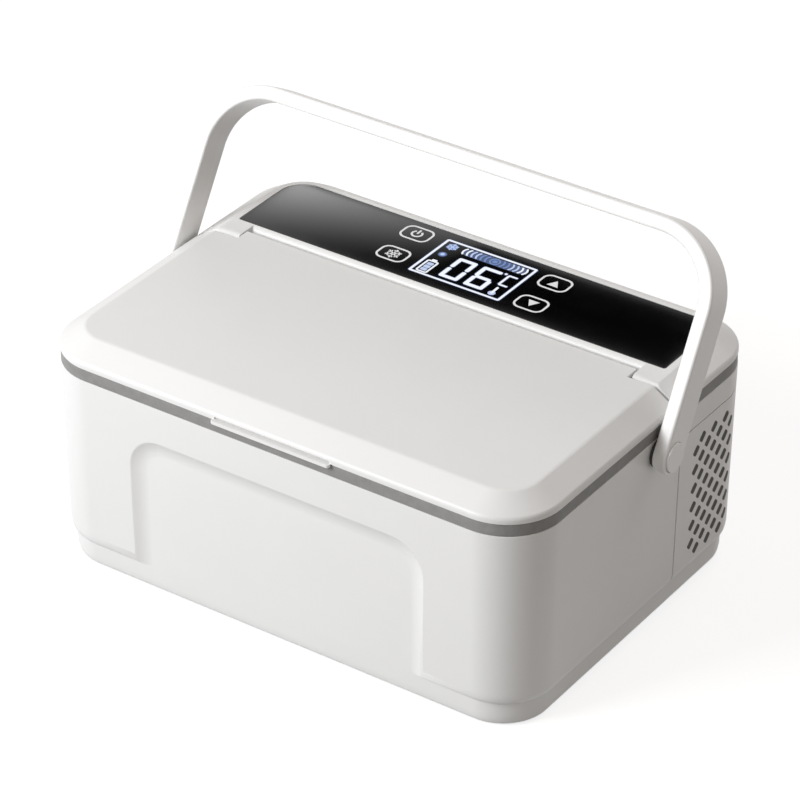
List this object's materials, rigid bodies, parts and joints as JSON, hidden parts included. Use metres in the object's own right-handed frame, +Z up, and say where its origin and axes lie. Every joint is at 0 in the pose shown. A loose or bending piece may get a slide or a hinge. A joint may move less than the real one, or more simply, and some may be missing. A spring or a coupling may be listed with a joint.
{
  "type": "insulin cooling case",
  "caption": "Small portable cooling case with a chamfered hinged lid, a tilting carrying handle, a black glass touch panel with a lit display, and slanted vents at the rear.",
  "frame": {"origin": "centre of the footprint on the surface that the case stands on", "axes": "+X to the right seen from the front, +Y from the pull lip to the rear vents, +Z up"},
  "size_m": [0.279, 0.1958, 0.1841],
  "materials": {
    "case_plastic": "satin",
    "handle_plastic": "satin",
    "band_rubber": "satin",
    "foot_rubber": "matte",
    "pad_rubber": "matte",
    "liner_plastic": "satin",
    "foam": "matte",
    "steel": "satin",
    "aluminium": "satin",
    "module_ceramic": "matte",
    "black_plastic": "satin",
    "cell_wrap": "satin",
    "circuit_board": "satin",
    "panel_glass": "polished"
  },
  "bodies": {
    "case": {"outer_shell": "case_plastic", "base_tray": "case_plastic", "rear_cover": "case_plastic", "seal_band": "band_rubber", "inner_liner": "liner_plastic", "insulation_foam": "foam", "bulkhead_plate": "liner_plastic", "rear_top_frame": "case_plastic", "foot_1": "foot_rubber", "foot_2": "foot_rubber", "foot_3": "foot_rubber", "foot_4": "foot_rubber", "base_screw_1": "steel", "base_screw_2": "steel", "base_screw_3": "steel", "base_screw_4": "steel", "body_magnet_1": "steel", "body_magnet_2": "steel", "cold_block": "aluminium", "cooling_module": "module_ceramic", "heat_sink": "aluminium", "temperature_sensor": "steel", "fan_frame": "black_plastic", "fan_screw_1": "steel", "fan_screw_2": "steel", "fan_screw_3": "steel", "fan_screw_4": "steel", "battery_holder": "black_plastic", "battery_cell_1": "cell_wrap", "battery_cell_2": "cell_wrap", "battery_cell_3": "cell_wrap", "power_board": "circuit_board", "power_socket": "black_plastic", "control_panel_glass": "panel_glass", "display_module": "black_plastic", "control_board": "circuit_board", "touch_pad_1": "pad_rubber", "touch_pad_2": "pad_rubber", "touch_pad_3": "pad_rubber", "touch_pad_4": "pad_rubber", "hinge_pin_left": "steel", "hinge_pin_right": "steel", "pivot_screw_left": "steel", "pivot_screw_right": "steel", "pivot_washer_left": "black_plastic", "pivot_washer_right": "black_plastic"},
    "lid": {"lid_shell": "case_plastic", "lid_foam": "foam", "lid_inner_panel": "liner_plastic", "lid_gasket": "band_rubber", "lid_magnet_1": "steel", "lid_magnet_2": "steel"},
    "handle": {"handle_bail": "handle_plastic", "pivot_cap_left": "handle_plastic", "pivot_cap_right": "handle_plastic"},
    "fan": {"fan_rotor": "black_plastic"}
  },
  "joints": [
    {"name": "lid_hinge", "type": "hinge", "parent": "case", "child": "lid", "pos_m": [0, 0.02825, 0.1135], "axis": [-1, 0, 0], "range_deg": [0, 95]},
    {"name": "handle_pivot", "type": "hinge", "parent": "case", "child": "handle", "pos_m": [0, 0.00975, 0.0948], "axis": [-1, 0, 0], "range_deg": [-98, 65]},
    {"name": "fan_spin", "type": "hinge", "parent": "case", "child": "fan", "pos_m": [0, 0.05645, 0.055], "axis": [0, 1, 0], "continuous": true}
  ]
}
